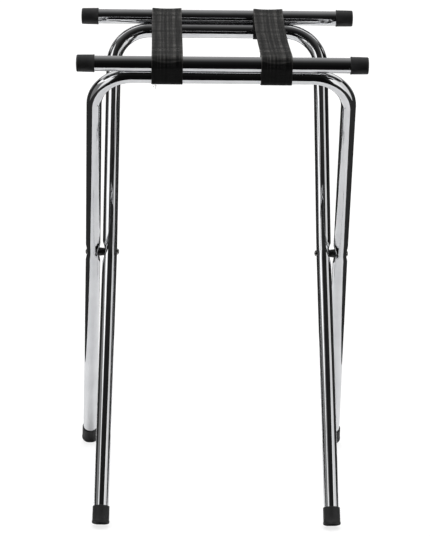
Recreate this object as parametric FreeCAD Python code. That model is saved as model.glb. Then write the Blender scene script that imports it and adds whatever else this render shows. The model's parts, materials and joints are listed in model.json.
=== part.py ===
import FreeCAD, Part
import math
import os

# Folding luggage rack: two chromed tube frames cross like scissors on a pair of rivets, a straight
# bar is welded on top of each frame, and two webbing straps between the bars hold the rack open.
# Millimetres, +Z up, +X to the right, the front towards -Y. The origin is on the floor, midway
# between the four feet.

os.makedirs("parts", exist_ok=True)
Vector = FreeCAD.Vector

# ---- Overall sizes ----
tube_dia = 25.0  # one tube size for both frames and both top bars
tube_wall = 1.2
open_lean = 30.0  # degrees between each frame and the vertical when the straps are tight
pivot_to_bar = 426.0  # along a frame, from the pivot to the top bar's axis
pivot_to_foot = 471.0  # along a frame, from the pivot to the end of a foot
bar_length = 474.0  # over both end caps
outer_half_width = 211.5  # from the middle of the rack to an outer leg's axis, at the pivot
outer_draw_in = 4.0  # an outer leg leans inwards by this much between the pivot and the top corner
outer_splay = 7.7  # and outwards by this much between the pivot and its foot
inner_draw_in = 3.6
inner_splay = 10.6
bend_radius = 63.0  # centre line of the bends at a frame's top corners

# ---- Pivots ----
spacer_length = 11.4  # what shows between an outer and an inner leg
spacer_dia = 14.0
rivet_dia = 6.0
rivet_head_dia = 10.4
rivet_head_height = 3.2
spacer_seat_depth = 3.85  # the spacer's seats are pressed this far into both legs
head_seat_depth = 2.8  # the seat of the rivet's outer head
seat_margin = 0.9  # a seat's radius is larger than the part on it by this much
squeeze_relief = 1.05  # the tube is squeezed this much less than its seats are deep
squeeze_half_length = 26.0  # the squeezed stretch runs this far above and below the pivot
squeeze_flat_half = 8.5  # the stretch in its middle that is squeezed evenly

# ---- End caps and feet ----
cap_wall = 1.7
cap_length = 30.0
cap_floor = 2.5
cap_corner = 2.6
cap_taper = 0.35  # a cap's closed end is this much smaller in radius than its mouth
cap_lip = 0.35
cap_lip_width = 1.6
foot_wall = 1.7
foot_length = 29.0
foot_floor = 3.0
foot_corner = 1.4
foot_flare = 0.5
foot_flare_width = 4.0
foot_flat = 0.8  # depth of the worn flat that each foot stands on

# ---- Straps ----
strap_width = 50.8
strap_thickness = 1.7
strap_offset = 88.5  # from the middle of the rack to the middle of a strap
seam_start = 35.0  # the turned-back end is sewn on between these two distances from a bar's axis
seam_end = 58.0

# ---- Welds ----
weld_offset = strap_offset  # each bar is welded to its frame under both straps, which hide the beads
weld_length = 24.0
weld_radius = 2.6

# ---- Clearances ----
running_fit = 0.05  # a leg's hole over its rivet, and a leg against its spacer
head_gap = 0.1  # inner leg to rivet head
push_fit = 0.02  # caps and feet over a tube, and a rivet in the pieces that stay with it
strap_gap = 0.3  # webbing to tube, and webbing to webbing

# ---- Worked out from the sizes above ----
tube_radius = tube_dia / 2
lean = math.radians(open_lean)
leg_pitch = tube_dia - 2 * spacer_seat_depth + spacer_length  # outer leg's axis to inner leg's axis
inner_half_width = outer_half_width - leg_pitch
corner_height = pivot_to_bar - tube_dia  # a frame's top tube lies right under its bar
foot_outer_radius = tube_radius + push_fit + foot_wall + foot_flare
pivot_height = (
    (pivot_to_foot - foot_corner) * math.cos(lean)
    + (foot_outer_radius - foot_corner) * math.sin(lean)
    + foot_corner
    - foot_flat
)
strap_middle = tube_radius + strap_gap + strap_thickness / 2  # bar's axis to the webbing's middle
bar_half_spread = pivot_to_bar * math.sin(lean)

# A frame's half width at the pivot, its draw-in and its splay, and which way it leans: forwards for
# the outer frame, backwards for the inner one.
outer = {"half": outer_half_width, "draw_in": outer_draw_in, "splay": outer_splay, "way": 1}
inner = {"half": inner_half_width, "draw_in": inner_draw_in, "splay": inner_splay, "way": -1}


# ---- Placing a piece ----
# Each frame is modelled upright, with the pivot's axis along X through the origin, and then leans
# about that axis.
def lean_over(shape, frame):
    placed = shape.copy()
    placed.rotate(Vector(0, 0, 0), Vector(1, 0, 0), frame["way"] * open_lean)
    placed.translate(Vector(0, 0, pivot_height))
    return placed


def save(shape, name):
    shape.exportStep("parts/" + name + ".step")


def revolved(start, steps):
    """Turn a closed outline of (along, radius) points about X; a step with two points is an arc."""
    here = Vector(start[0], 0, start[1])
    edges = []
    for step in steps + [(start,)]:
        points = [Vector(along, 0, radius) for along, radius in step]
        if len(points) == 2:
            edges.append(Part.Arc(here, points[0], points[1]).toShape())
        else:
            edges.append(Part.LineSegment(here, points[0]).toShape())
        here = points[-1]
    return Part.Face(Part.Wire(edges)).revolve(Vector(0, 0, 0), Vector(1, 0, 0), 360)


def corner_arc(along, radius, corner):
    """The rounded edge between an end face at 0 and a side at radius: the step that turns it."""
    bulge = corner * (1 - math.sqrt(0.5))
    return ((along + bulge, radius - bulge), (along + corner, radius))


def stand_along(shape, point, direction):
    """Move a piece built along X from the origin so that it starts at point and runs in direction."""
    turned = shape.copy()
    turn = FreeCAD.Rotation(Vector(1, 0, 0), direction)
    turned.Placement = FreeCAD.Placement(point, turn)
    return turned


# ---- Bent tube frames ----
def leg_axis(frame, side, upwards):
    """The pivot point, the direction and the end of one leg's axis, up to the corner or down to the foot."""
    pivot = Vector(side * frame["half"], 0, 0)
    if upwards:
        end = Vector(side * (frame["half"] - frame["draw_in"]), 0, corner_height)
    else:
        end = Vector(side * (frame["half"] + frame["splay"]), 0, -pivot_to_foot)
    return pivot, (end - pivot).normalize(), end


def circle_wire(centre, normal, radius):
    circle = Part.Circle(centre, normal, radius)
    circle.XAxis = Vector(0, 1, 0)
    return Part.Wire(circle.toShape())


def ellipse_wire(centre, across, deep):
    rim_deep = centre + Vector(0, deep, 0)
    rim_across = centre + Vector(across, 0, 0)
    return Part.Wire(Part.Ellipse(rim_deep, rim_across, centre).toShape())


def top_bow(frame, radius):
    """A rod along the top of a frame, from one squeezed stretch round both bends to the other."""
    edges = []
    across = {}
    for side in (-1, 1):
        pivot, up, corner = leg_axis(frame, side, True)
        inwards = Vector(-side, 0, 0)
        turn = up.getAngle(inwards)
        reach = bend_radius * math.tan(turn / 2)
        start = pivot + up * squeeze_half_length
        bend_start = corner - up * reach
        bend_end = corner + inwards * reach
        towards_centre = (inwards - up * inwards.dot(up)).normalize()
        centre = bend_start + towards_centre * bend_radius
        middle = centre + (corner - centre).normalize() * bend_radius
        edges.append(Part.LineSegment(start, bend_start).toShape())
        edges.append(Part.Arc(bend_start, middle, bend_end).toShape())
        across[side] = bend_end
        if side == -1:
            first, first_direction = start, up
    edges.append(Part.LineSegment(across[-1], across[1]).toShape())
    path = Part.Wire(Part.__sortEdges__(edges))
    return path.makePipeShell([circle_wire(first, first_direction, radius)], True, False)


def squeezed_stretch(frame, side, radius, outside_dent, inside_dent):
    """The stretch of a leg around the pivot, pressed flatter from one or both sides."""
    pivot, up, _ = leg_axis(frame, side, True)
    _, down, _ = leg_axis(frame, side, False)
    across = radius - (outside_dent + inside_dent) / 2
    deep = math.sqrt(2 * radius**2 - across**2)
    shift = Vector(side * (inside_dent - outside_dent) / 2, 0, 0)
    flat = Vector(0, 0, squeeze_flat_half)
    sections = [
        circle_wire(pivot + down * squeeze_half_length, down, radius),
        circle_wire(pivot + down * (squeeze_half_length - 2), down, radius),
        ellipse_wire(pivot + shift - flat, across, deep),
        ellipse_wire(pivot + shift + flat, across, deep),
        circle_wire(pivot + up * (squeeze_half_length - 2), up, radius),
        circle_wire(pivot + up * squeeze_half_length, up, radius),
    ]
    return Part.makeLoft(sections, True, False)


def seat_cutter(frame, side, face_x, outwards, radius):
    """A disc that presses a round seat into a leg; face_x is measured from the leg's axis."""
    start = Vector(side * (frame["half"] + face_x), 0, 0)
    return Part.makeCylinder(radius, tube_dia, start, Vector(side * outwards, 0, 0))


def frame_rod(frame, radius, dents, seats, past_foot):
    """A solid bar in the shape of a whole frame. dents and seats are (outside, inside) pairs."""
    rod = top_bow(frame, radius)
    stretches = []
    for side in (-1, 1):
        stretches.append(squeezed_stretch(frame, side, radius, dents[0], dents[1]))
        pivot, down, end = leg_axis(frame, side, False)
        start = pivot + down * squeeze_half_length
        length = (end - start).Length - foot_floor + past_foot
        stretches.append(Part.makeCylinder(radius, length, start, down))
    rod = rod.fuse(stretches)
    for side in (-1, 1):
        for depth, seat_radius, outwards in seats:
            face_x = outwards * (tube_radius - depth)
            rod = rod.cut(seat_cutter(frame, side, face_x, outwards, seat_radius))
    return rod


def frame_tube(frame, seats, hole_radius):
    """Bent tube: the outer rod less the rod that fills its bore, with the rivet's holes drilled."""
    dents = [0.0, 0.0]
    for depth, _, outwards in seats:
        dents[0 if outwards > 0 else 1] = depth - squeeze_relief
    bore_seats = [(depth + tube_wall, r + tube_wall, way) for depth, r, way in seats]
    skin = frame_rod(frame, tube_radius, dents, seats, 0)
    bore = frame_rod(frame, tube_radius - tube_wall, dents, bore_seats, tube_wall)
    tube = skin.cut(bore)
    for side in (-1, 1):
        start = Vector(side * (frame["half"] - tube_dia), 0, 0)
        tube = tube.cut(Part.makeCylinder(hole_radius, 2 * tube_dia, start, Vector(side, 0, 0)))
    return tube


def outer_frame_tube():
    spacer_seat = (spacer_seat_depth, spacer_dia / 2 + seat_margin, -1)
    head_seat = (head_seat_depth, rivet_head_dia / 2 + seat_margin, 1)
    return frame_tube(outer, [spacer_seat, head_seat], rivet_dia / 2 + push_fit)


def inner_frame_tube():
    spacer_seat = (spacer_seat_depth, spacer_dia / 2 + seat_margin, 1)
    return frame_tube(inner, [spacer_seat], rivet_dia / 2 + running_fit)


# ---- Top bars, their welds and end caps ----
def top_bar():
    length = bar_length - 2 * cap_floor
    start = Vector(-length / 2, 0, pivot_to_bar)
    skin = Part.makeCylinder(tube_radius, length, start, Vector(1, 0, 0))
    bore = Part.makeCylinder(tube_radius - tube_wall, length, start, Vector(1, 0, 0))
    return skin.cut(bore)


def bar_welds(inwards):
    """Two short beads in the groove between a bar and its frame, on the side facing the rack's middle."""
    seam_height = pivot_to_bar - tube_radius
    groove = math.sqrt((tube_radius + weld_radius) ** 2 - tube_radius**2)
    beads = []
    for place in (-1, 1):
        start = Vector(place * weld_offset - weld_length / 2, inwards * groove, seam_height)
        rod = Part.makeCylinder(weld_radius, weld_length, start, Vector(1, 0, 0))
        filler_start = Vector(start.x, inwards * groove / 2, seam_height)
        filler = Part.makeBox(weld_length, groove, 2 * weld_radius)
        filler.translate(filler_start - Vector(0, groove / 2, weld_radius))
        bead = rod.fuse(filler)
        for height in (pivot_to_bar, corner_height):
            tube_start = Vector(-bar_length / 2, 0, height)
            bead = bead.cut(Part.makeCylinder(tube_radius, bar_length, tube_start, Vector(1, 0, 0)))
        beads.append(bead.Solids[0])
    return Part.makeCompound(beads)


def bar_cap():
    """Push-on cup, its closed end at the origin and its mouth towards +X."""
    bore = tube_radius + push_fit
    mouth = bore + cap_wall
    end = mouth - cap_taper
    return revolved(
        (0, 0),
        [
            ((0, end - cap_corner),),
            corner_arc(0, end, cap_corner),
            ((cap_length - cap_lip_width, mouth),),
            ((cap_length - cap_lip_width, mouth + cap_lip),),
            ((cap_length, mouth + cap_lip),),
            ((cap_length, bore),),
            ((cap_floor, bore),),
            ((cap_floor, 0),),
        ],
    )


# ---- Feet ----
def foot():
    """Push-on cup like a cap, with a thicker rim round its closed end."""
    bore = tube_radius + push_fit
    body = bore + foot_wall
    rim = body + foot_flare
    return revolved(
        (0, 0),
        [
            ((0, rim - foot_corner),),
            corner_arc(0, rim, foot_corner),
            ((foot_flare_width, rim),),
            ((foot_flare_width + 2 * foot_flare, body),),
            ((foot_length, body),),
            ((foot_length, bore),),
            ((foot_floor, bore),),
            ((foot_floor, 0),),
        ],
    )


def placed_foot(frame, side):
    _, down, end = leg_axis(frame, side, False)
    leaning = lean_over(stand_along(foot(), end, down * -1), frame)
    floor = Part.makeBox(2 * bar_length, 4 * pivot_to_foot, foot_length)
    floor.translate(Vector(-bar_length, -2 * pivot_to_foot, -foot_length))
    return leaning.cut(floor)


# ---- Pivots ----
def spacer(side):
    bore = rivet_dia / 2 + push_fit
    start_x = side * (inner_half_width + tube_radius - spacer_seat_depth + running_fit)
    length = spacer_length - running_fit
    start = Vector(start_x, 0, 0)
    body = Part.makeCylinder(spacer_dia / 2, length, start, Vector(side, 0, 0))
    return body.cut(Part.makeCylinder(bore, length, start, Vector(side, 0, 0)))


def rivet(side):
    """Shank and two domed heads; its outline runs from the inner head's crown to the outer one's."""
    inner_x = inner_half_width - tube_radius - head_gap
    outer_x = outer_half_width + tube_radius - head_seat_depth
    shank = rivet_dia / 2
    head = rivet_head_dia / 2
    ball = (head**2 + rivet_head_height**2) / (2 * rivet_head_height)
    crown = ball - math.sqrt(ball**2 - (head / 2) ** 2)
    turned = revolved(
        (inner_x - rivet_head_height, 0),
        [
            ((inner_x - rivet_head_height + crown, head / 2), (inner_x, head)),
            ((inner_x, shank),),
            ((outer_x, shank),),
            ((outer_x, head),),
            ((outer_x + rivet_head_height - crown, head / 2), (outer_x + rivet_head_height, 0)),
        ],
    )
    if side < 0:
        turned = turned.mirror(Vector(0, 0, 0), Vector(1, 0, 0))
    return turned


# ---- Straps ----
# A strap's side view is drawn for the front bar, with y towards the middle of the rack and z up,
# both from the bar's axis. The rear is its mirror image.
def band(path):
    """Webbing of even thickness along a path of anticlockwise arcs and straight runs."""
    half = strap_thickness / 2
    sides = []
    for offset in (half, -half):
        edges = []
        for step in path:
            if step[0] == "arc":
                _, centre, radius, first, last = step
                reach = radius + offset
                points = [
                    Vector(0, centre[0] + reach * math.cos(a), centre[1] + reach * math.sin(a))
                    for a in (first, (first + last) / 2, last)
                ]
                edges.append(Part.Arc(points[0], points[1], points[2]).toShape())
            else:
                _, start, end = step
                along = Vector(0, end[0] - start[0], end[1] - start[1]).normalize()
                right = Vector(0, along.z, -along.y) * offset
                ends = [Vector(0, start[0], start[1]) + right, Vector(0, end[0], end[1]) + right]
                edges.append(Part.LineSegment(ends[0], ends[1]).toShape())
        sides.append(edges)
    closing = []
    for place, vertex in ((0, 0), (-1, -1)):
        ends = [side[place].Vertexes[vertex].Point for side in sides]
        closing.append(Part.LineSegment(ends[0], ends[1]).toShape())
    outline = Part.Wire(Part.__sortEdges__(sides[0] + sides[1] + closing))
    solid = Part.Face(outline).extrude(Vector(strap_width, 0, 0))
    solid.translate(Vector(-strap_width / 2, 0, 0))
    return solid


def below_bar():
    """Where the webbing leaves the frame's tube for the seam: the tube's axis, that point's angle, the point."""
    axis = (tube_dia * math.sin(lean), -tube_dia * math.cos(lean))
    seam = (seam_start, strap_middle - strap_thickness)
    back = (axis[0] - seam[0], axis[1] - seam[1])
    distance = math.hypot(back[0], back[1])
    heading = math.atan2(back[1], back[0]) + math.asin(strap_middle / distance)
    angle = heading + math.pi / 2 + 2 * math.pi
    point = (axis[0] + strap_middle * math.cos(angle), axis[1] + strap_middle * math.sin(angle))
    return axis, angle, point, seam


def loop():
    """Over the bar, down the outside of both tubes and under the frame's tube."""
    axis, leave, _, _ = below_bar()
    outside = math.pi + lean
    run_start = (strap_middle * math.cos(outside), strap_middle * math.sin(outside))
    run_end = (run_start[0] + axis[0], run_start[1] + axis[1])
    over_bar = ("arc", (0, 0), strap_middle, math.pi / 2, outside)
    under_tube = ("arc", axis, strap_middle, outside, leave)
    return band([over_bar, ("line", run_start, run_end), under_tube])


def half_span():
    """From just behind the bar's loop to the middle of the rack, with the sewn end coming up to it."""
    _, _, leaves_tube, seam = below_bar()
    low = strap_middle - strap_thickness / 2
    loop_rim = strap_middle + strap_thickness / 2 + strap_gap
    start = math.sqrt(loop_rim**2 - low**2)
    length = bar_half_spread - strap_gap / 2 - start
    web = Part.makeBox(strap_width, length, strap_thickness)
    web.translate(Vector(-strap_width / 2, start, low))
    sewn = Part.makeBox(strap_width, seam_end - seam_start, strap_thickness)
    sewn.translate(Vector(-strap_width / 2, seam_start, low - strap_thickness))
    rise = math.hypot(seam[0] - leaves_tube[0], seam[1] - leaves_tube[1])
    tail_start = [leaves_tube[i] + (seam[i] - leaves_tube[i]) * strap_gap / rise for i in (0, 1)]
    tail = band([("line", tail_start, seam)])
    return web.fuse([sewn, tail]).removeSplitter()


def place_strap(shape, side, front):
    placed = shape.copy()
    placed.translate(Vector(side * strap_offset, -bar_half_spread, pivot_height + pivot_to_bar * math.cos(lean)))
    if not front:
        placed = placed.mirror(Vector(0, 0, 0), Vector(0, 1, 0))
    return placed


# ---- Make every piece ----
sides = {"left": -1, "right": 1}

save(lean_over(outer_frame_tube(), outer), "outer_frame_tube")
save(lean_over(inner_frame_tube(), inner), "inner_frame_tube")

for end_name, frame in (("front", outer), ("rear", inner)):
    save(lean_over(top_bar(), frame), end_name + "_top_bar")
    save(lean_over(bar_welds(frame["way"]), frame), end_name + "_bar_welds")
    for side_name, side in sides.items():
        cap_end = Vector(side * bar_length / 2, 0, pivot_to_bar)
        cap = stand_along(bar_cap(), cap_end, Vector(-side, 0, 0))
        save(lean_over(cap, frame), end_name + "_bar_cap_" + side_name)

for side_name, side in sides.items():
    save(placed_foot(inner, side), "front_foot_" + side_name)
    save(placed_foot(outer, side), "rear_foot_" + side_name)
    save(lean_over(spacer(side), outer), "pivot_spacer_" + side_name)
    save(lean_over(rivet(side), outer), "pivot_rivet_" + side_name)
    for end_name, front in (("front", True), ("rear", False)):
        strap = "strap_" + side_name + "_" + end_name
        save(place_strap(loop(), side, front), strap + "_loop")
        save(place_strap(half_span(), side, front), strap + "_half")
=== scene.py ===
import json
import math

import bmesh
import bpy
from mathutils import Euler, Matrix, Vector, noise


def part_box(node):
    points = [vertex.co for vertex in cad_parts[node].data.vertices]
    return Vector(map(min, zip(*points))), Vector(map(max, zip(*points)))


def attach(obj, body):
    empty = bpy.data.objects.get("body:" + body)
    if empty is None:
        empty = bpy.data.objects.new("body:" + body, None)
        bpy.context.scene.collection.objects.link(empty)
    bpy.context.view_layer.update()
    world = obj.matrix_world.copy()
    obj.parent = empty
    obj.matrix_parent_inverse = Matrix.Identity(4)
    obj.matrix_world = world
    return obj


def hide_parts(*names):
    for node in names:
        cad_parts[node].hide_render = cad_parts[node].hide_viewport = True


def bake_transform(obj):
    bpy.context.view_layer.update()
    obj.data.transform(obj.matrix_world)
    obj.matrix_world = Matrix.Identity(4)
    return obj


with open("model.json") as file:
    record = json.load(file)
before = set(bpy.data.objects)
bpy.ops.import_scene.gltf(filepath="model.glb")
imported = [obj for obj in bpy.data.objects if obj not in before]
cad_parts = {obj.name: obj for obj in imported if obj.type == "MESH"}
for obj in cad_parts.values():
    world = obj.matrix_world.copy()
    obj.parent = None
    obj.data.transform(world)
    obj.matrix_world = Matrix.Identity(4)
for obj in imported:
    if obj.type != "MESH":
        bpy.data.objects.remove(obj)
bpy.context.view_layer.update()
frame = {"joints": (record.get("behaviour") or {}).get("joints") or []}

# ---- The two bent frames ----
# Each frame is one length of 25 mm steel tube bent to an upside-down U, and the outer one leans
# forwards while the inner one leans back. The legs are pressed to flat seats where they cross, and
# the whole frame is polished and chrome plated afterwards, so the plating runs into the seats.
fold = next(j for j in frame["joints"] if j["name"] == "fold")
pivot = Vector(fold["pos_m"])
bar_low, bar_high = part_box("front_top_bar")
tube_radius = (bar_high.z - bar_low.z) / 2
front_bar_centre = (bar_low + bar_high) / 2
lean = math.atan2(-front_bar_centre.y, front_bar_centre.z - pivot.z)
pivot_to_bar = math.hypot(front_bar_centre.y, front_bar_centre.z - pivot.z)
corner_height = pivot_to_bar - 2 * tube_radius
spacer_low, spacer_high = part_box("pivot_spacer_right")
spacer_seat = 0.00385
head_seat = 0.0028
bend_radius = 0.063
press_reach = 0.030
wall = 0.0012
kink_softness = 0.008
tube_facets = 96


def frame_facts(node, half_width, draw_in, way):
    """What a frame's shape needs: its half widths at the pivot, corner and foot, and its leg's length."""
    low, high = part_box(node)
    leg = (pivot.z - tube_radius * math.sin(lean) - low.z) / math.cos(lean)
    foot_half = high.x - tube_radius
    return {"half": half_width, "draw_in": draw_in, "splay": foot_half - half_width, "leg": leg, "way": way}


def leaned(point, way):
    """A point of a frame that stands upright on its pivot, leaned forwards or back to where it belongs."""
    return Matrix.Rotation(way * lean, 3, "X") @ point + pivot


def leg_offset(shape, along):
    """How far a leg's middle line is from the rack's middle at a distance above or below the pivot."""
    above = kink_softness * math.log1p(math.exp(along / kink_softness)) if along < 0.4 else along
    below = kink_softness * math.log1p(math.exp(-along / kink_softness)) if along > -0.4 else -along
    rise = shape["draw_in"] / corner_height
    fall = shape["splay"] / shape["leg"]
    return shape["half"] - rise * above + fall * below


def left_half_line(shape):
    """The middle line of a frame's left half, from the foot to the top's middle: x, height, heading, and
    the distance from the pivot for the pressed stretch."""
    stations = []
    heights = []
    steps = 18
    for i in range(steps):
        heights.append(-shape["leg"] + (shape["leg"] - press_reach) * i / steps)
    pressed_steps = 60
    for i in range(pressed_steps):
        heights.append(-press_reach + 2 * press_reach * i / pressed_steps)
    top_x = shape["half"] - shape["draw_in"]
    tilt = math.atan2(shape["draw_in"], corner_height)
    turn = math.pi / 2 - tilt
    reach = bend_radius * math.tan(turn / 2)
    bend_start = corner_height - reach * math.cos(tilt)
    for i in range(13):
        heights.append(press_reach + (bend_start - press_reach) * i / 13)
    for along in heights:
        slope = (leg_offset(shape, along + 0.0005) - leg_offset(shape, along - 0.0005)) / 0.001
        stations.append((-leg_offset(shape, along), along, math.pi / 2 + math.atan(slope), along))
    start_heading = math.pi / 2 - tilt
    start = Vector((-top_x - reach * math.sin(tilt), bend_start))
    centre = start + bend_radius * Vector((math.sin(start_heading), -math.cos(start_heading)))
    bend_steps = 48
    for i in range(bend_steps + 1):
        heading = start_heading * (1 - i / bend_steps)
        on_bend = centre + bend_radius * Vector((-math.sin(heading), math.cos(heading)))
        stations.append((on_bend.x, on_bend.y, heading, 1.0))
    run = -stations[-1][0]
    for i in range(1, 9):
        stations.append((stations[-1][0] + run / 8 if i < 8 else 0.0, corner_height, 0.0, 1.0))
    return stations


def softly_under(value, limit):
    """value, but no more than limit, with a rounded edge where it starts to give way."""
    edge = 0.0004
    gap = (limit - value) / edge
    if gap > 20:
        return value
    if gap < -20:
        return limit
    return value - edge * math.log1p(math.exp(-gap))


def pressed(outwards, across, along, seats):
    """Where a point of the tube's round section goes when the seats are pressed into both sides."""
    for side, depth, flat, flare in seats:
        from_middle = max(0.0, math.hypot(along, across) - flat)
        limit = tube_radius - depth + from_middle**2 / (2 * flare)
        outwards = side * softly_under(side * outwards, limit)
    widening = 0.09 * math.exp(-((along / 0.014) ** 2)) * len(seats) / 2
    return outwards, across * (1 + widening)


def skin_between(mesh, rings):
    """Faces between each ring of points and the next."""
    corners = [[mesh.verts.new(p) for p in ring] for ring in rings]
    count = len(corners[0])
    for first, second in zip(corners, corners[1:]):
        for i in range(count):
            j = (i + 1) % count
            mesh.faces.new((first[i], first[j], second[j], second[i]))
    return corners


def finished_piece(name, mesh, material, crease=35):
    """An object from a finished mesh: faces turned outwards, shading smooth but for the real edges."""
    bmesh.ops.recalc_face_normals(mesh, faces=mesh.faces)
    for face in mesh.faces:
        face.smooth = True
    for edge in mesh.edges:
        if len(edge.link_faces) == 2 and edge.calc_face_angle(0) > math.radians(crease):
            edge.smooth = False
    data = bpy.data.meshes.new(name)
    mesh.to_mesh(data)
    mesh.free()
    data.materials.append(material)
    piece = bpy.data.objects.new(name, data)
    bpy.context.scene.collection.objects.link(piece)
    return piece


def bent_tube(name, shape, seats, material):
    """A whole frame: one skin from foot to foot, its open ends turned in to the wall's thickness."""
    half = left_half_line(shape)
    line = half + [(-x, z, -heading, along) for x, z, heading, along in reversed(half[:-1])]
    rings = []
    for x, z, heading, along in line:
        outward = Vector((-math.sin(heading), 0, math.cos(heading)))
        ring = []
        for i in range(tube_facets):
            turn = 2 * math.pi * i / tube_facets
            a, b = tube_radius * math.cos(turn), tube_radius * math.sin(turn)
            if abs(along) < press_reach:
                a, b = pressed(a, b, along, seats)
            ring.append(leaned(Vector((x, 0, z)) + outward * a + Vector((0, b, 0)), shape["way"]))
        rings.append(ring)
    for place in (0, -1):
        middle = sum(rings[place], Vector()) / tube_facets
        inner = [middle + (p - middle) * (1 - wall / tube_radius) for p in rings[place]]
        deeper = (rings[1][0] - rings[0][0]) if place == 0 else (rings[-2][0] - rings[-1][0])
        deep = [p + deeper.normalized() * 0.01 for p in inner]
        if place == 0:
            rings = [deep, inner] + rings
        else:
            rings = rings + [inner, deep]
    mesh = bmesh.new()
    corners = skin_between(mesh, rings)
    mesh.faces.new(corners[0])
    mesh.faces.new(corners[-1])
    return finished_piece(name, mesh, material)


def new_material(name):
    """An empty material with its surface shader: the node tree, the shader, and a way to add nodes."""
    made = bpy.data.materials.new(name)
    made.use_nodes = True
    tree = made.node_tree
    return made, tree, tree.nodes["Principled BSDF"]


def pattern(tree, kind, coordinates, **settings):
    """A pattern node that reads the given coordinates; settings are its input values."""
    node = tree.nodes.new(kind)
    tree.links.new(coordinates, node.inputs["Vector"])
    for key, value in settings.items():
        node.inputs[key.replace("_", " ")].default_value = value
    return node


def shades(tree, source, stops):
    """A colour ramp: stops are (place, grey or colour)."""
    ramp = tree.nodes.new("ShaderNodeValToRGB")
    tree.links.new(source, ramp.inputs["Fac"])
    elements = ramp.color_ramp.elements
    while len(elements) < len(stops):
        elements.new(0.5)
    for element, (place, colour) in zip(elements, stops):
        element.position = place
        rgb = colour if isinstance(colour, tuple) else (colour,) * 3
        element.color = (*rgb, 1)
    return ramp.outputs["Color"]


def relief(tree, shader, height, strength, distance):
    """Raise and lower the surface by a pattern, on top of any relief it has."""
    bump = tree.nodes.new("ShaderNodeBump")
    bump.inputs["Strength"].default_value = strength
    bump.inputs["Distance"].default_value = distance
    tree.links.new(height, bump.inputs["Height"])
    before = shader.inputs["Normal"]
    if before.is_linked:
        tree.links.new(before.links[0].from_socket, bump.inputs["Normal"])
    tree.links.new(bump.outputs["Normal"], before)


def chrome_plating():
    """Bright plating with faint handling haze, fine polishing lines and the tube's slight waviness."""
    made, tree, shader = new_material("chrome_plating")
    place = tree.nodes.new("ShaderNodeTexCoord").outputs["Object"]
    haze = pattern(tree, "ShaderNodeTexNoise", place, Scale=22.0, Detail=5.0, Roughness=0.6)
    specks = pattern(tree, "ShaderNodeTexNoise", place, Scale=420.0, Detail=2.0)
    tint = shades(tree, haze.outputs["Fac"], [(0.35, (0.77, 0.775, 0.79)), (0.65, (0.86, 0.865, 0.875))])
    tree.links.new(tint, shader.inputs["Base Color"])
    dull = shades(tree, haze.outputs["Fac"], [(0.42, 0.03), (0.62, 0.05), (0.74, 0.10)])
    tree.links.new(dull, shader.inputs["Roughness"])
    shader.inputs["Metallic"].default_value = 1.0
    waviness = pattern(tree, "ShaderNodeTexNoise", place, Scale=38.0, Detail=1.0)
    relief(tree, shader, waviness.outputs["Fac"], 0.10, 0.0012)
    relief(tree, shader, specks.outputs["Fac"], 0.03, 0.0002)
    return made


chrome = chrome_plating()
outer_half = spacer_high.x - spacer_seat + tube_radius
inner_half = spacer_low.x + spacer_seat - tube_radius
outer_facts = frame_facts("outer_frame_tube", outer_half, 0.0040, 1)
inner_facts = frame_facts("inner_frame_tube", inner_half, 0.0036, -1)

outer_seats = [(-1, spacer_seat, 0.0076, 0.0150), (1, head_seat, 0.0056, 0.0240)]
outer_tube = bent_tube("outer_bent_tube", outer_facts, outer_seats, chrome)
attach(outer_tube, "outer_frame")
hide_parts("outer_frame_tube")

inner_seats = [(1, spacer_seat, 0.0070, 0.0150)]
inner_tube = bent_tube("inner_bent_tube", inner_facts, inner_seats, chrome)
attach(inner_tube, "inner_frame")
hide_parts("inner_frame_tube")

# ---- Top bars ----
# A straight length of the same tube lies along the top of each frame, with its ends standing out
# past the bends. It is cut square, deburred and plated together with its frame.
end_names = {"front": ("outer_frame", 1), "rear": ("inner_frame", -1)}
deburr = 0.0003
for end_name, (body, way) in end_names.items():
    low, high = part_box(end_name + "_top_bar")
    centre = (low + high) / 2
    reach = (high.x - low.x) / 2
    outline = [(-reach + 0.012, tube_radius - wall), (-reach, tube_radius - wall), (-reach, tube_radius - deburr)]
    outline.append((-reach + deburr, tube_radius))
    for i in range(1, 24):
        outline.append((-reach + 2 * reach * i / 24, tube_radius))
    outline += [(-x, radius) for x, radius in reversed(outline[:4])]
    rings = []
    for x, radius in outline:
        ring = []
        for i in range(tube_facets):
            turn = 2 * math.pi * i / tube_facets
            ring.append(centre + Vector((x, radius * math.cos(turn), radius * math.sin(turn))))
        rings.append(ring)
    mesh = bmesh.new()
    corners = skin_between(mesh, rings)
    mesh.faces.new(corners[0])
    mesh.faces.new(corners[-1])
    bar = finished_piece(end_name + "_bar", mesh, chrome)
    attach(bar, body)
    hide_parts(end_name + "_top_bar")

# ---- Weld beads ----
# Two short beads join each bar to its frame, in the groove on the side that faces the middle of the
# rack, where the straps hide them. They are laid by hand, a puddle at a time, and plated over.
bead_length = 0.024
bead_radius = 0.0027
bead_middle = 0.0081
puddle_pitch = 0.0017


def plated_weld():
    made, tree, shader = new_material("plated_weld")
    place = tree.nodes.new("ShaderNodeTexCoord").outputs["Object"]
    scale_marks = pattern(tree, "ShaderNodeTexNoise", place, Scale=600.0, Detail=4.0)
    tint = shades(tree, scale_marks.outputs["Fac"], [(0.3, (0.42, 0.42, 0.43)), (0.7, (0.70, 0.70, 0.71))])
    tree.links.new(tint, shader.inputs["Base Color"])
    dull = shades(tree, scale_marks.outputs["Fac"], [(0.3, 0.22), (0.75, 0.42)])
    tree.links.new(dull, shader.inputs["Roughness"])
    shader.inputs["Metallic"].default_value = 1.0
    relief(tree, shader, scale_marks.outputs["Fac"], 0.35, 0.0003)
    return made


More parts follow.
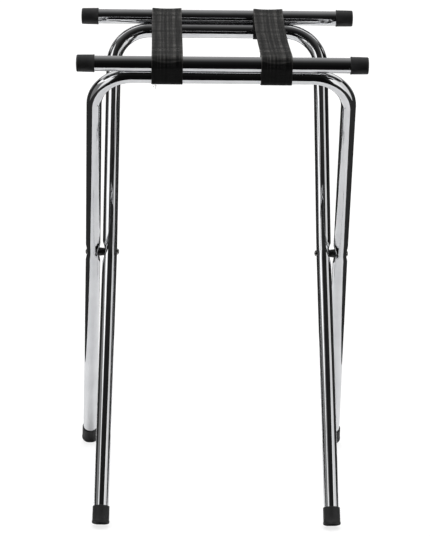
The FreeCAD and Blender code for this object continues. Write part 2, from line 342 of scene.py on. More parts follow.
weld_finish = plated_weld()
for end_name, (body, way) in end_names.items():
    low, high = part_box(end_name + "_bar_welds")
    seam = Vector((0, way * bead_middle, pivot_to_bar - tube_radius))
    mesh = bmesh.new()
    for place_x in (low.x + bead_length / 2, high.x - bead_length / 2):
        rings = []
        steps = 96
        for i in range(steps + 1):
            x = (i / steps - 0.5) * bead_length
            ends = math.sqrt(max(0.0, 1 - (2 * i / steps - 1) ** 6))
            puddle = (x / puddle_pitch) % 1.0
            radius = bead_radius * (0.25 + 0.75 * ends) * (0.90 + 0.10 * math.sqrt(1 - puddle**2 * 0.95))
            wander = 0.0002 * math.sin(x * 700 + place_x * 90)
            ring = []
            for k in range(20):
                turn = 2 * math.pi * k / 20
                off = Vector((place_x + x, radius * math.cos(turn), radius * math.sin(turn) + wander))
                ring.append(leaned(seam + off, way))
            rings.append(ring)
        corners = skin_between(mesh, rings)
        mesh.faces.new(corners[0])
        mesh.faces.new(corners[-1])
    beads = finished_piece(end_name + "_weld_beads", mesh, weld_finish, 50)
    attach(beads, body)
    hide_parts(end_name + "_bar_welds")

# ---- Bar end caps ----
# Black plastic cups pushed over the bars' open ends. They are injection moulded, with a slightly
# domed end, a rounded corner, a little draft and a thin lip round the mouth.
cap_length = 0.030
cap_mouth = 0.01422
cap_draft = 0.00035
cap_dome = 0.0011
cap_corner = 0.0022
cap_lip = 0.00035
cap_floor = 0.0025


def arc_steps(centre, radius, first, last, steps):
    """Points of an outline round an arc, in degrees from the piece's own axis."""
    found = []
    for i in range(steps + 1):
        turn = math.radians(first + (last - first) * i / steps)
        found.append((centre[0] + radius * math.cos(turn), centre[1] + radius * math.sin(turn)))
    return found


def moulded_cup(name, outline, start, direction, material, crease=35, level=None):
    """A turned piece: its outline of (along, radius) points swung round the line from start in direction.
    The first and last points lie on that line. level presses what is below a height flat."""
    along = direction.normalized()
    across = along.cross(Vector((0, 0, 1))).normalized()
    up = across.cross(along)
    mesh = bmesh.new()
    rings = []
    for distance, radius in outline[1:-1]:
        ring = []
        for i in range(72):
            turn = 2 * math.pi * i / 72
            point = start + along * distance + (across * math.cos(turn) + up * math.sin(turn)) * radius
            if level is not None:
                point.z = max(point.z, level)
            ring.append(point)
        rings.append(ring)
    corners = skin_between(mesh, rings)
    for ring, (distance, _) in ((corners[0], outline[0]), (corners[-1], outline[-1])):
        tip = mesh.verts.new(start + along * distance)
        for i in range(72):
            mesh.faces.new((ring[i], ring[(i + 1) % 72], tip))
    return finished_piece(name, mesh, material, crease)


def black_moulding(name, base, dull, grain, scuffs):
    """Black plastic or rubber: fine moulded grain, a little bloom, and paler scuffs where it rubs."""
    made, tree, shader = new_material(name)
    place = tree.nodes.new("ShaderNodeTexCoord").outputs["Object"]
    bloom = pattern(tree, "ShaderNodeTexNoise", place, Scale=60.0, Detail=6.0, Roughness=0.65)
    fine = pattern(tree, "ShaderNodeTexNoise", place, Scale=grain, Detail=3.0)
    pale = tuple(c + scuffs for c in base)
    tint = shades(tree, bloom.outputs["Fac"], [(0.35, base), (0.60, tuple(c * 1.25 for c in base)), (0.80, pale)])
    tree.links.new(tint, shader.inputs["Base Color"])
    rough = shades(tree, bloom.outputs["Fac"], [(0.3, dull - 0.06), (0.7, dull + 0.08)])
    tree.links.new(rough, shader.inputs["Roughness"])
    relief(tree, shader, fine.outputs["Fac"], 0.25, 0.00012)
    return made


cap_plastic = black_moulding("cap_plastic", (0.017, 0.017, 0.0175), 0.50, 1500.0, 0.020)
cap_end = cap_mouth - cap_draft
dome_radius = (cap_end**2 + cap_dome**2) / (2 * cap_dome)
dome_half = math.degrees(math.asin((cap_end - cap_corner) / dome_radius))
cap_outline = [(0.00035, 0.0), (0.00035, 0.0013), (0.0, 0.0016)]
for i in range(2, 13):
    radius = (cap_end - cap_corner * 0.75) * i / 12
    cap_outline.append((dome_radius - math.sqrt(dome_radius**2 - radius**2), radius))
corner_centre = (cap_outline[-1][0] + cap_corner, cap_end - cap_corner)
cap_outline += arc_steps(corner_centre, cap_corner, 155, 90, 8)
cap_outline += [(0.016, cap_mouth - 0.0001), (cap_length - 0.0022, cap_mouth)]
cap_outline += [(cap_length - 0.0016, cap_mouth + cap_lip * 0.9), (cap_length - 0.0012, cap_mouth + cap_lip)]
cap_outline += [(cap_length - 0.0003, cap_mouth + cap_lip), (cap_length, cap_mouth + cap_lip * 0.5)]
cap_outline += [(cap_length, tube_radius + 0.0003), (cap_length - 0.0004, tube_radius + 0.00002)]
cap_outline += [(cap_floor, tube_radius + 0.00002), (cap_floor, 0.0)]
for end_name, (body, way) in end_names.items():
    for side_name, side in (("left", -1), ("right", 1)):
        node = end_name + "_bar_cap_" + side_name
        low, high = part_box(node)
        end = Vector((low.x if side < 0 else high.x, (low.y + high.y) / 2, (low.z + high.z) / 2))
        cap = moulded_cup(end_name + "_cap_" + side_name, cap_outline, end, Vector((-side, 0, 0)), cap_plastic)
        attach(cap, body)
        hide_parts(node)

# ---- Feet ----
# Black rubber cups pushed over the legs' lower ends, thicker round the closed end where they meet
# the floor. The floor has worn a small flat on each, at the angle the leg leans.
foot_length = 0.029
foot_body = 0.01422
foot_flare = 0.0005
foot_corner = 0.0014
foot_floor = 0.003
foot_rubber = black_moulding("foot_rubber", (0.015, 0.015, 0.015), 0.55, 900.0, 0.03)
rim = foot_body + foot_flare
foot_outline = [(0.0, 0.0)]
foot_outline += [(0.0, (rim - foot_corner) * i / 14) for i in range(1, 15)]
foot_outline += arc_steps((foot_corner, rim - foot_corner), foot_corner, 172, 90, 8)
foot_outline += [(0.0026, rim), (0.0040, rim), (0.0045, rim - 0.00025), (0.0052, foot_body)]
foot_outline += [(0.012, foot_body), (foot_length - 0.0006, foot_body - 0.0001)]
foot_outline += [(foot_length, foot_body - 0.0006), (foot_length, tube_radius + 0.00002)]
foot_outline += [(foot_floor, tube_radius + 0.00002), (foot_floor, 0.0)]
for end_name, facts, body in (("front", inner_facts, "inner_frame"), ("rear", outer_facts, "outer_frame")):
    for side_name, side in (("left", -1), ("right", 1)):
        reach = facts["leg"] + foot_floor
        slope = facts["splay"] / facts["leg"]
        heel = leaned(Vector((side * (facts["half"] + slope * reach), 0, -reach)), facts["way"])
        knee = leaned(Vector((side * facts["half"], 0, 0)), facts["way"])
        name = end_name + "_rubber_foot_" + side_name
        foot = moulded_cup(name, foot_outline, heel, knee - heel, foot_rubber, 35, 0.0)
        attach(foot, body)
        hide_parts(end_name + "_foot_" + side_name)

# ---- Pivot spacers ----
# A black nylon bush on each rivet keeps the crossing legs apart. It is moulded a little wider at
# the outer leg than at the inner one, with eased edges.
spacer_plastic = black_moulding("spacer_nylon", (0.010, 0.010, 0.0105), 0.32, 1200.0, 0.008)
spacer_wide = 0.0077
spacer_narrow = 0.0065
rivet_shank = 0.003
for side_name, side in (("left", -1), ("right", 1)):
    node = "pivot_spacer_" + side_name
    low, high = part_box(node)
    length = high.x - low.x
    start = Vector((low.x if side > 0 else high.x, pivot.y, pivot.z))
    ease = 0.0006
    bush = [(0.0, 0.0), (0.0, spacer_narrow - ease)]
    bush += arc_steps((ease, spacer_narrow - ease), ease, 165, 90, 5)
    bush += [(length * 0.35, spacer_narrow + 0.0002), (length * 0.7, spacer_narrow + 0.0007)]
    bush += arc_steps((length - ease, spacer_wide - ease), ease, 90, 15, 5)
    bush += [(length, spacer_wide - ease), (length, 0.0)]
    spacer = moulded_cup("spacer_bush_" + side_name, bush, start, Vector((side, 0, 0)), spacer_plastic)
    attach(spacer, "outer_frame")
    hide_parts(node)

# ---- Rivets ----
# One steel rivet goes through both legs and the spacer on each side. Both heads are set to a low
# dome with a small flat rim; the inner one stands on the round of the inner leg.
head_radius = 0.0052
head_height = 0.0032


def nickel_steel():
    made, tree, shader = new_material("rivet_nickel")
    place = tree.nodes.new("ShaderNodeTexCoord").outputs["Object"]
    marks = pattern(tree, "ShaderNodeTexNoise", place, Scale=700.0, Detail=4.0)
    tint = shades(tree, marks.outputs["Fac"], [(0.3, (0.22, 0.215, 0.20)), (0.7, (0.42, 0.41, 0.39))])
    tree.links.new(tint, shader.inputs["Base Color"])
    dull = shades(tree, marks.outputs["Fac"], [(0.3, 0.16), (0.75, 0.34)])
    tree.links.new(dull, shader.inputs["Roughness"])
    shader.inputs["Metallic"].default_value = 1.0
    relief(tree, shader, marks.outputs["Fac"], 0.2, 0.00015)
    return made


rivet_finish = nickel_steel()
for side_name, side in (("left", -1), ("right", 1)):
    node = "pivot_rivet_" + side_name
    low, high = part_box(node)
    length = high.x - low.x
    start = Vector((low.x if side > 0 else high.x, pivot.y, pivot.z))
    set_rim = 0.0005
    head = []
    for i in range(9):
        turn = math.pi / 2 * i / 8
        head.append((head_height - set_rim - (head_height - set_rim) * math.cos(turn), head_radius * math.sin(turn)))
    head += [(head_height - 0.0001, head_radius), (head_height, head_radius - 0.0002), (head_height, rivet_shank)]
    other = [(length - along, radius) for along, radius in reversed(head)]
    rivet = moulded_cup("rivet_" + side_name, head + other, start, Vector((side, 0, 0)), rivet_finish, 40)
    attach(rivet, "outer_frame")
    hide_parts(node)

# ---- Webbing straps ----
# Two straps of black 50 mm polypropylene webbing tie the bars together and stop the rack opening
# further. At each bar the webbing goes over the bar, down the outside and back up under the frame's
# tube, and its end is turned up and sewn on beneath the span. It is modelled in two pieces an end.
web_half = 0.00085
strap_gap = 0.0003
wrap = tube_radius + strap_gap + web_half
web_width = 0.0508
rib_count = 19
rib_rise = 0.00013
seam_start = 0.035
seam_end = 0.058


def ribbed_section():
    """One cross-section of the webbing: (across, out) round both faces, with woven ribs and round edges."""
    columns = rib_count * 6
    top = []
    for i in range(columns + 1):
        u = (i / columns - 0.5) * (web_width - 2 * web_half)
        edge = min(1.0, (web_width / 2 - abs(u)) / 0.003)
        rib = abs(math.sin(math.pi * rib_count * i / columns)) ** 0.7
        top.append((u, web_half - rib_rise + rib_rise * 2 * rib * edge * 0.5))
    right = arc_steps((web_width / 2 - web_half, 0.0), web_half, 60, -60, 4)
    left = arc_steps((-web_width / 2 + web_half, 0.0), web_half, 240, 120, 4)
    bottom = [(-u, -out) for u, out in top]
    return top + right + bottom + left


def woven_strip(name, middle_line, shift, bar, way, material, cup):
    """Webbing along a line of (y, z, heading, length so far) in a side view of the bar, y towards the
    middle of the rack. way is 1 at the front bar and -1 at the rear one."""
    section = ribbed_section()
    mesh = bmesh.new()
    weave = mesh.loops.layers.uv.new("weave")
    rings = []
    for y, z, heading, run in middle_line:
        out_y, out_z = -math.sin(heading), math.cos(heading)
        ring = []
        for u, out in section:
            lifted = out - cup(y, z, u, run)
            place = Vector((u + shift(y), y + out_y * lifted, z + out_z * lifted))
            ring.append(bar + Vector((place.x, way * place.y, place.z)))
        rings.append(ring)
    corners = skin_between(mesh, rings)
    mesh.faces.new(corners[0])
    mesh.faces.new(corners[-1])
    spot = {}
    for ring, (_, _, _, run) in zip(corners, middle_line):
        for vert, (u, _) in zip(ring, section):
            spot[vert] = (u / web_width, run / web_width)
    for face in mesh.faces:
        for loop in face.loops:
            loop[weave].uv = spot[loop.vert]
    return finished_piece(name, mesh, material, 60)


def woven_black():
    """Black webbing: picks across each rib, fibres in its tone and relief, a painted highlight along both edges, and
    painted shade on each loop from part way down the bar's outer face round underneath.
    """
    made, tree, shader = new_material("black_webbing")
    weave = tree.nodes.new("ShaderNodeUVMap")
    weave.uv_map = "weave"
    place = weave.outputs["UV"]
    stretch = tree.nodes.new("ShaderNodeMapping")
    stretch.inputs["Scale"].default_value = (rib_count * 2.0, 46.0, 1.0)
    tree.links.new(place, stretch.inputs["Vector"])
    picks = pattern(tree, "ShaderNodeTexChecker", stretch.outputs["Vector"], Scale=1.0)
    rows = pattern(tree, "ShaderNodeTexWave", place, Scale=7.3, Distortion=0.6, Detail_Scale=1.0)
    rows.bands_direction = "Y"
    def drawn_out(across, along, detail, seed):
        """Noise stretched over the webbing: so many spots across its width and along the same length."""
        mapping = tree.nodes.new("ShaderNodeMapping")
        mapping.inputs["Scale"].default_value = (across, along, 1.0)
        mapping.inputs["Location"].default_value = (seed, seed * 1.7, seed)
        tree.links.new(place, mapping.inputs["Vector"])
        return pattern(tree, "ShaderNodeTexNoise", mapping.outputs["Vector"], Scale=1.0, Detail=detail)

    def darkened(colour, factor):
        """The colour times another, which may be above one."""
        mix = tree.nodes.new("ShaderNodeMix")
        mix.data_type = "RGBA"
        mix.blend_type = "MULTIPLY"
        mix.inputs["Factor"].default_value = 1.0
        tree.links.new(colour, mix.inputs["A"])
        tree.links.new(factor, mix.inputs["B"])
        return mix.outputs["Result"]

    streaks = drawn_out(18.0, 0.14, 3.0, 3.0)
    worn = drawn_out(7.0, 0.10, 2.0, 11.0)
    crossing = drawn_out(1.3, 12.0, 4.0, 7.0)
    bands = drawn_out(0.5, 2.4, 3.0, 5.0)
    fibres = pattern(tree, "ShaderNodeTexNoise", place, Scale=260.0, Detail=2.0)
    tint = shades(tree, streaks.outputs["Fac"], [(0.42, (0.0065, 0.0064, 0.0061)), (0.58, (0.0225, 0.0218, 0.0208))])
    tint = darkened(tint, shades(tree, worn.outputs["Fac"], [(0.42, 0.42), (0.58, 1.50)]))
    tint = darkened(tint, shades(tree, crossing.outputs["Fac"], [(0.42, 0.75), (0.52, 1.0), (0.60, 1.5)]))
    tint = darkened(tint, shades(tree, bands.outputs["Fac"], [(0.40, 0.70), (0.50, 1.0), (0.60, 1.6)]))
    tint = darkened(tint, shades(tree, fibres.outputs["Fac"], [(0.3, 0.6), (0.7, 1.4)]))
    parts = tree.nodes.new("ShaderNodeSeparateXYZ")
    tree.links.new(place, parts.inputs["Vector"])
    # Painted highlight: the colour brightens up to 1.8 times towards both long edges of the webbing.
    from_middle = tree.nodes.new("ShaderNodeMath")
    from_middle.operation = "ABSOLUTE"
    tree.links.new(parts.outputs["X"], from_middle.inputs[0])
    tint = darkened(tint, shades(tree, from_middle.outputs["Value"], [(0.455, 1.0), (0.480, 1.8)]))
    # Painted shade: from part way down the outer face of each bar, round the loop's lower part and under the frame's
    # tube, the colour is darkened to 0.3 times.
    loop_shade_run = tree.nodes.new("ShaderNodeMath")
    loop_shade_run.operation = "DIVIDE"
    loop_shade_run.inputs[1].default_value = 10.0
    tree.links.new(parts.outputs["Y"], loop_shade_run.inputs[0])
    tint = darkened(tint, shades(tree, loop_shade_run.outputs["Value"], [(0.455, 1.0), (0.468, 0.30)]))
    tree.links.new(tint, shader.inputs["Base Color"])
    rough = shades(tree, streaks.outputs["Fac"], [(0.3, 0.62), (0.7, 0.78)])
    tree.links.new(rough, shader.inputs["Roughness"])
    shader.inputs["Specular IOR Level"].default_value = 0.22
    shader.inputs["Sheen Weight"].default_value = 0.03
    shader.inputs["Sheen Roughness"].default_value = 0.45
    relief(tree, shader, picks.outputs["Fac"], 0.35, 0.00012)
    relief(tree, shader, rows.outputs["Fac"], 0.35, 0.00015)
    relief(tree, shader, fibres.outputs["Fac"], 0.25, 0.00006)
    return made


def walked(points):
    """Add to each (y, z, heading) point the length of webbing up to it."""
    run = 0.0
    found = []
    for i, (y, z, heading) in enumerate(points):
        if i:
            run += math.hypot(y - points[i - 1][0], z - points[i - 1][1])
        found.append((y, z, heading, run))
    return found


# In the side view the frame's tube lies below and behind its bar. The webbing leaves that tube at
# the angle from which it runs straight up to the start of the seam.
under = Vector((2 * tube_radius * math.sin(lean), -2 * tube_radius * math.cos(lean)))
under_web = wrap - 2 * web_half
seam = Vector((seam_start, under_web))
back = under - seam
leave = math.atan2(back.y, back.x) + math.asin(wrap / back.length) + math.pi / 2 + 2 * math.pi
leaves_tube = under + wrap * Vector((math.cos(leave), math.sin(leave)))
outside = math.pi + lean
half_span = -front_bar_centre.y

web_points = []
span_steps = 72
for i in range(span_steps):
    web_points.append((half_span * (1 - i / span_steps), wrap, math.pi))
for i in range(33):
    turn = math.pi / 2 + (outside - math.pi / 2) * i / 32
    web_points.append((wrap * math.cos(turn), wrap * math.sin(turn), turn + math.pi / 2))
for i in range(1, 10):
    over = wrap * Vector((math.cos(outside), math.sin(outside))) + under * i / 10
    web_points.append((over.x, over.y, outside + math.pi / 2))
for i in range(33):
    turn = outside + (leave - outside) * i / 32
    around = under + wrap * Vector((math.cos(turn), math.sin(turn)))
    web_points.append((around.x, around.y, turn + math.pi / 2))
web_line = walked(web_points)

rise = seam - leaves_tube
rise_heading = math.atan2(rise.y, rise.x)
tail_points = []
fillet = 0.004
turned_up = fillet * math.tan(rise_heading / 2)
for i in range(1, 22):
    on_rise = leaves_tube + rise.normalized() * (rise.length - turned_up) * i / 22
    tail_points.append((on_rise.x, on_rise.y, rise_heading))
fold_centre = Vector((seam.x + turned_up, seam.y - fillet))
for i in range(13):
    heading = rise_heading * (1 - i / 12)
    tail_points.append((fold_centre.x - fillet * math.sin(heading), fold_centre.y + fillet * math.cos(heading), heading))
for i in range(1, 13):
    tail_points.append((seam.x + turned_up + (seam_end - seam_start - turned_up) * i / 12, under_web, 0.0))
tail_line = walked(tail_points)

webbing = woven_black()
# How far each strap has slid to the right of its place, at each bar and in the middle of its span.
slides = {
    "left": {"front": -0.0011, "middle": -0.0005, "rear": 0.0006},
    "right": {"front": -0.0007, "middle": -0.0031, "rear": -0.0003},
}
web_pieces = {}
for end_name, (body, way) in end_names.items():
    bar_centre = Vector((0, -way * half_span, front_bar_centre.z))
    for side_name, side in (("left", -1), ("right", 1)):
        strap = "strap_" + side_name + "_" + end_name
        low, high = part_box(strap + "_half")
        middle_x = (low.x + high.x) / 2
        slid = slides[side_name][end_name]
        shared = slides[side_name]["middle"]

        def shift(y, slid=slid, shared=shared, middle_x=middle_x):
            share = min(1.0, max(0.0, y / half_span))
            return middle_x + slid + (shared - slid) * (1 - (1 - share) ** 2)

        def cup(y, z, u, run, end_name=end_name, strap_seed=side * 3.0 + way):
            """The edges curl up a little near the bars, a crease lies across the front of the front bar, and
            the span is nowhere quite flat."""
            side_share = (2 * u / web_width) ** 2
            if end_name == "front":
                crease_run = half_span + wrap * math.radians(56) + 0.0050 * (1 - side_share)
                crease = 0.0017 * math.exp(-(((run - crease_run) / 0.0021) ** 2)) * (1 - side_share**3)
            else:
                crease = 0.0013 * side_share * math.exp(-(((y + 0.001) / 0.010) ** 2)) if z > 0 else 0.0
            if z < 0.0 or y < -0.002:
                return crease
            near = math.exp(-(((y - 0.018) / 0.030) ** 2)) * min(1.0, (y + 0.002) / 0.012)
            curl = 0.0012 if end_name == "rear" else 0.0009
            loose = min(1.0, y / 0.02) * min(1.0, (half_span - y) / 0.03 + 0.0) if y > 0 else 0.0
            ripple = noise.noise(Vector((u * 22, y * 16, strap_seed))) * 0.0006
            return curl * near * side_share + ripple * loose + crease

        def flat(y, z, u, run):
            return 0.0

        web = woven_strip(strap + "_web", web_line, shift, bar_centre, way, webbing, cup)
        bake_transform(web)
        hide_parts(strap + "_loop")

        tail = woven_strip(strap + "_sewn_end", tail_line, shift, bar_centre, way, webbing, flat)
        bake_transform(tail)
        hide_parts(strap + "_half")
        web_pieces[strap] = (web, tail, shift, bar_centre, way, cup)

# ---- Stitching ----
# Two rows of lockstitch in heavy bonded thread go across each seam, through the span and the end
# turned up beneath it. Each stitch lies proud of the webbing, above and below.
thread_radius = 0.00036
stitch_pitch = 0.0031
seam_rows = (0.0372, 0.0562)
row_half = 0.0215


def bonded_thread():
    made, tree, shader = new_material("bonded_thread")
    place = tree.nodes.new("ShaderNodeTexCoord").outputs["Object"]
    twist = pattern(tree, "ShaderNodeTexNoise", place, Scale=900.0, Detail=3.0)
    tint = shades(tree, twist.outputs["Fac"], [(0.3, (0.060, 0.058, 0.055)), (0.7, (0.16, 0.157, 0.150))])
    tree.links.new(tint, shader.inputs["Base Color"])
    rough = shades(tree, twist.outputs["Fac"], [(0.3, 0.38), (0.7, 0.6)])
    tree.links.new(rough, shader.inputs["Roughness"])
    relief(tree, shader, twist.outputs["Fac"], 0.4, 0.0001)
    return made


thread = bonded_thread()


def thread_run(mesh, points, radius):
    """A short round thread through the points, its ends closed."""
    rings = []
    for i, point in enumerate(points):
        ahead = points[min(i + 1, len(points) - 1)] - points[max(i - 1, 0)]
        side_way = ahead.cross(Vector((0.3, 0.2, 1))).normalized()
        up_way = side_way.cross(ahead).normalized()
        ends = 0.35 if i in (0, len(points) - 1) else 1.0
        ring = []
        for k in range(8):
            turn = 2 * math.pi * k / 8
            ring.append(point + (side_way * math.cos(turn) + up_way * math.sin(turn)) * radius * ends)
        rings.append(ring)
    corners = skin_between(mesh, rings)
    mesh.faces.new(corners[0])
    mesh.faces.new(corners[-1])


for strap, (web, tail, shift, bar_centre, way, cup) in web_pieces.items():
    mesh = bmesh.new()
    count = int(2 * row_half / stitch_pitch)
    for row in seam_rows:
        for face_side in (1, -1):
            for i in range(count):
                u = (i + 0.5 - count / 2) * stitch_pitch
                points = []
                for k in range(7):
                    v = u + (k / 6 - 0.5) * stitch_pitch * 0.86
                    arch = math.sin(math.pi * k / 6)
                    y = row + 0.00018 * math.sin(i * 2.3) + (k / 6 - 0.5) * 0.0003
                    if face_side > 0:
                        z = wrap + web_half + cup(y, wrap, v, 0) - 0.0004 + 0.0006 * arch
                    else:
                        z = under_web - web_half + 0.0004 - 0.0006 * arch
                    points.append(bar_centre + Vector((v + shift(y), way * y, z)))
                thread_run(mesh, points, thread_radius)
    stitches = finished_piece(strap + "_stitches", mesh, thread, 60)
    end_name = "front" if way > 0 else "rear"
    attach(stitches, end_name + "_strap_halves")

# ---- Loose threads ----
# A few fibres have pulled out of the webbing's edge under the left front loop.
fray = bmesh.new()
_, _, fray_shift, fray_bar, _, _ = web_pieces["strap_left_front"]
fray_root = fray_bar + Vector((fray_shift(0) - 0.0205, under.x - 0.004, under.y - wrap - web_half + 0.0003))
for length, sideways, forward in ((0.0075, 0.0022, -0.002), (0.0045, -0.0010, 0.001), (0.0030, 0.0035, 0.0)):
    points = []
    for k in range(7):
        share = k / 6
        swing = Vector((sideways * share**1.5 + 0.0006 * math.sin(share * 5), forward * share, -length * share))
        points.append(fray_root + swing + Vector((sideways * 0.5, 0, 0)))
    thread_run(fray, points, 0.00026)
frayed = finished_piece("strap_left_front_fray", fray, thread, 60)
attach(frayed, "outer_frame")

# ---- Floor and light ----
# The rack stands on a pale floor in a quiet studio. A white paper sheet lies under it, which is what
# the chrome shows from below, with soft lights at the sides, a dim ceiling and dark walls.
def plain_plane(name, x0, x1, y0, y1, z):
    mesh = bmesh.new()
    mesh.faces.new([mesh.verts.new(p) for p in ((x0, y0, z), (x1, y0, z), (x1, y1, z), (x0, y1, z))])
    data = bpy.data.meshes.new(name)
    mesh.to_mesh(data)
    mesh.free()
    plane = bpy.data.objects.new(name, data)
    bpy.context.scene.collection.objects.link(plane)
    return plane


def pale_surface(name, colour):
    made, tree, shader = new_material(name)
    place = tree.nodes.new("ShaderNodeTexCoord").outputs["Object"]
    mottle = pattern(tree, "ShaderNodeTexNoise", place, Scale=3.0, Detail=2.0)
    brighter = tuple(min(1.0, c * 1.02) for c in colour)
    tint = shades(tree, mottle.outputs["Fac"], [(0.3, colour), (0.7, brighter)])
    tree.links.new(tint, shader.inputs["Base Color"])
    shader.inputs["Roughness"].default_value = 0.9
    shader.inputs["Specular IOR Level"].default_value = 0.0
    return made


floor = plain_plane("floor", -30, 30, -30, 30, -0.0002)
pale_floor = pale_surface("pale_floor", (0.22, 0.22, 0.22))
floor_shader = pale_floor.node_tree.nodes["Principled BSDF"]
floor_shader.inputs["Emission Color"].default_value = (1, 1, 1, 1)
floor_shader.inputs["Emission Strength"].default_value = 0.80
floor.data.materials.append(pale_floor)
floor.visible_glossy = False
floor.visible_diffuse = False
floor.visible_shadow = False
paper = plain_plane("paper_sheet", -0.47, 0.47, -0.66, 0.95, -0.0015)
paper.data.materials.append(pale_surface("white_paper", (0.60, 0.602, 0.608)))
paper.visible_camera = False

world = bpy.data.worlds.new("quiet_studio")
bpy.context.scene.world = world
world.use_nodes = True
sky = world.node_tree
sky.nodes.clear()


def sky_math(operation, a, b=None):
    node = sky.nodes.new("ShaderNodeMath")
    node.operation = operation
    for socket, value in zip(node.inputs, (a, b)):
        if value is None:
            continue
        if isinstance(value, (int, float)):
            socket.default_value = value
        else:
            sky.links.new(value, socket)
    return node.outputs["Value"]


def sky_window(angle, first, last, soft):
    """1 while angle is between first and last degrees, falling to 0 over soft degrees outside them."""
    up = sky.nodes.new("ShaderNodeMapRange")
    up.interpolation_type = "SMOOTHSTEP"
    down = sky.nodes.new("ShaderNodeMapRange")
    down.interpolation_type = "SMOOTHSTEP"
    sky.links.new(angle, up.inputs["Value"])
    sky.links.new(angle, down.inputs["Value"])
    for node, start, end in ((up, first - soft, first), (down, last + soft, last)):
        node.inputs["From Min"].default_value = start
        node.inputs["From Max"].default_value = end
    return sky_math("MULTIPLY", up.outputs["Result"], down.outputs["Result"])


towards = sky.nodes.new("ShaderNodeTexCoord").outputs["Generated"]
parts = sky.nodes.new("ShaderNodeSeparateXYZ")
sky.links.new(towards, parts.inputs["Vector"])
front_back = sky_math("MULTIPLY", parts.outputs["Y"], -1.0)
level = sky_math("SQRT", sky_math("ADD", sky_math("POWER", parts.outputs["X"], 2.0), sky_math("POWER", front_back, 2.0)))
compass = sky_math("DEGREES", sky_math("ARCTAN2", parts.outputs["X"], front_back))
elevation = sky_math("DEGREES", sky_math("ARCTAN2", parts.outputs["Z"], level))
over_head = sky_math("DEGREES", sky_math("ARCTAN2", parts.outputs["Z"], front_back))
ceiling = sky.nodes.new("ShaderNodeValToRGB")
sky.links.new(sky_math("DIVIDE", over_head, 180.0), ceiling.inputs["Fac"])
ceiling_stops = ((0.0, 0.0045), (0.12, 0.008), (0.24, 0.014), (0.33, 0.045), (0.43, 0.10), (0.55, 0.21), (0.68, 0.29), (0.97, 0.40))
while len(ceiling.color_ramp.elements) < len(ceiling_stops):
    ceiling.color_ramp.elements.new(0.5)
for element, (place_at, grey) in zip(ceiling.color_ramp.elements, ceiling_stops):
    element.position = place_at
    element.color = (grey, grey, grey * 1.02, 1)
above = sky_window(elevation, 0.0, 90.0, 4.0)
sideways = sky_math("DEGREES", sky_math("ARCSINE", sky_math("ABSOLUTE", parts.outputs["X"])))
middle = sky_window(sideways, -1.0, 28.0, 22.0)
glow = sky_math("MULTIPLY", sky_math("MULTIPLY", ceiling.outputs["Color"], above), middle)
# Walls: (first and last compass angle, lowest and highest elevation, brightness, softness).
walls = (
    (-92, -40, -30, 50, 0.20, 5.0),
    (-170, -30, -60, 10, 0.026, 8.0),
    (30, 170, -60, 10, 0.026, 8.0),
    (114, 158, 28, 74, 0.85, 5.0),
    (-160, -114, 28, 74, 0.80, 5.0),
)
for first, last, lowest, highest, strength, soft in walls:
    shape = sky_math("MULTIPLY", sky_window(compass, first, last, soft), sky_window(elevation, lowest, highest, 5.0))
    glow = sky_math("MAXIMUM", glow, sky_math("MULTIPLY", shape, strength))
glow = sky_math("MAXIMUM", glow, 0.004)
background = sky.nodes.new("ShaderNodeBackground")
sky.links.new(glow, background.inputs["Color"])
out = sky.nodes.new("ShaderNodeOutputWorld")
sky.links.new(background.outputs["Background"], out.inputs["Surface"])


def soft_box(name, corners, brightness):
    """A lit cloth panel at the side of the studio: the chrome shows it and the camera doesn't."""
    mesh = bmesh.new()
    mesh.faces.new([mesh.verts.new(p) for p in corners])
    data = bpy.data.meshes.new(name)
    mesh.to_mesh(data)
    mesh.free()
    panel = bpy.data.objects.new(name, data)
    bpy.context.scene.collection.objects.link(panel)
    cloth, _, shader = new_material(name + "_cloth")
    shader.inputs["Base Color"].default_value = (0, 0, 0, 1)
    shader.inputs["Emission Color"].default_value = (1, 1, 1, 1)
    shader.inputs["Emission Strength"].default_value = brightness
    data.materials.append(cloth)
    panel.visible_camera = False
    panel.visible_diffuse = False
    panel.visible_shadow = False
    return panel


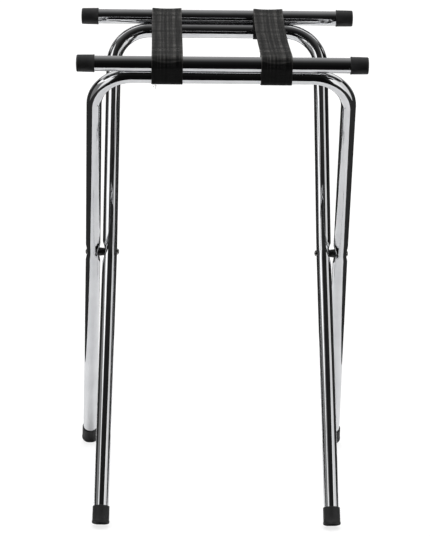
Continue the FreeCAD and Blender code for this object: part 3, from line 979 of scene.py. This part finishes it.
soft_box("left_soft_box", ((-1.2, -1.15, 0.95), (-1.2, -0.08, 0.95), (-1.2, -0.08, 2.3), (-1.2, -1.15, 2.3)), 1.25)
soft_box("left_low_card", ((-1.2, -1.7, 0.1), (-1.2, -0.85, 0.1), (-1.2, -0.85, 1.15), (-1.2, -1.7, 1.15)), 0.95)
soft_box("right_low_card", ((1.2, -1.7, 0.1), (1.2, -0.85, 0.1), (1.2, -0.85, 1.15), (1.2, -1.7, 1.15)), 0.95)
soft_box("right_soft_box", ((1.2, -0.95, 0.15), (1.2, -0.20, 0.15), (1.2, -0.20, 2.3), (1.2, -0.95, 2.3)), 0.72)

sun = bpy.data.lights.new("overhead_light", "SUN")
sun.energy = 3.5
sun.angle = math.radians(70)
overhead = bpy.data.objects.new("overhead_light", sun)
overhead.rotation_euler = Euler((math.radians(-12), 0, 0))
overhead.visible_glossy = False
bpy.context.scene.collection.objects.link(overhead)

backdrop_mesh = bmesh.new()
bmesh.ops.create_uvsphere(backdrop_mesh, u_segments=32, v_segments=16, radius=26.0)
backdrop_data = bpy.data.meshes.new("backdrop")
backdrop_mesh.to_mesh(backdrop_data)
backdrop_mesh.free()
backdrop = bpy.data.objects.new("backdrop", backdrop_data)
bpy.context.scene.collection.objects.link(backdrop)
backdrop_material, backdrop_tree, backdrop_shader = new_material("pale_backdrop")
backdrop_shader.inputs["Base Color"].default_value = (0, 0, 0, 1)
backdrop_shader.inputs["Emission Color"].default_value = (1, 1, 1, 1)
backdrop_shader.inputs["Emission Strength"].default_value = 1.0
backdrop_shader.inputs["Specular IOR Level"].default_value = 0.0
backdrop_data.materials.append(backdrop_material)
backdrop.visible_glossy = False
backdrop.visible_diffuse = False
backdrop.visible_shadow = False

# ---- Camera ----
# It stands a little left of the rack's middle and looks down on it by about fifteen degrees, through
# a long lens.
eye = Vector((-0.125, -5.297, 1.7815))
yaw, pitch, roll = math.radians(-1.322), math.radians(-14.760), math.radians(-0.80)
lens = bpy.data.cameras.new("camera")
lens.sensor_width = 36.0
lens.lens = 214.5
lens.clip_start, lens.clip_end = 0.1, 100.0
camera = bpy.data.objects.new("camera", lens)
aim = Matrix.Rotation(yaw, 4, "Z") @ Matrix.Rotation(math.pi / 2 + pitch, 4, "X") @ Matrix.Rotation(-roll, 4, "Z")
camera.matrix_world = Matrix.Translation(eye) @ aim
bpy.context.scene.collection.objects.link(camera)
bpy.context.scene.camera = camera
bpy.context.scene.view_settings.view_transform = "Standard"
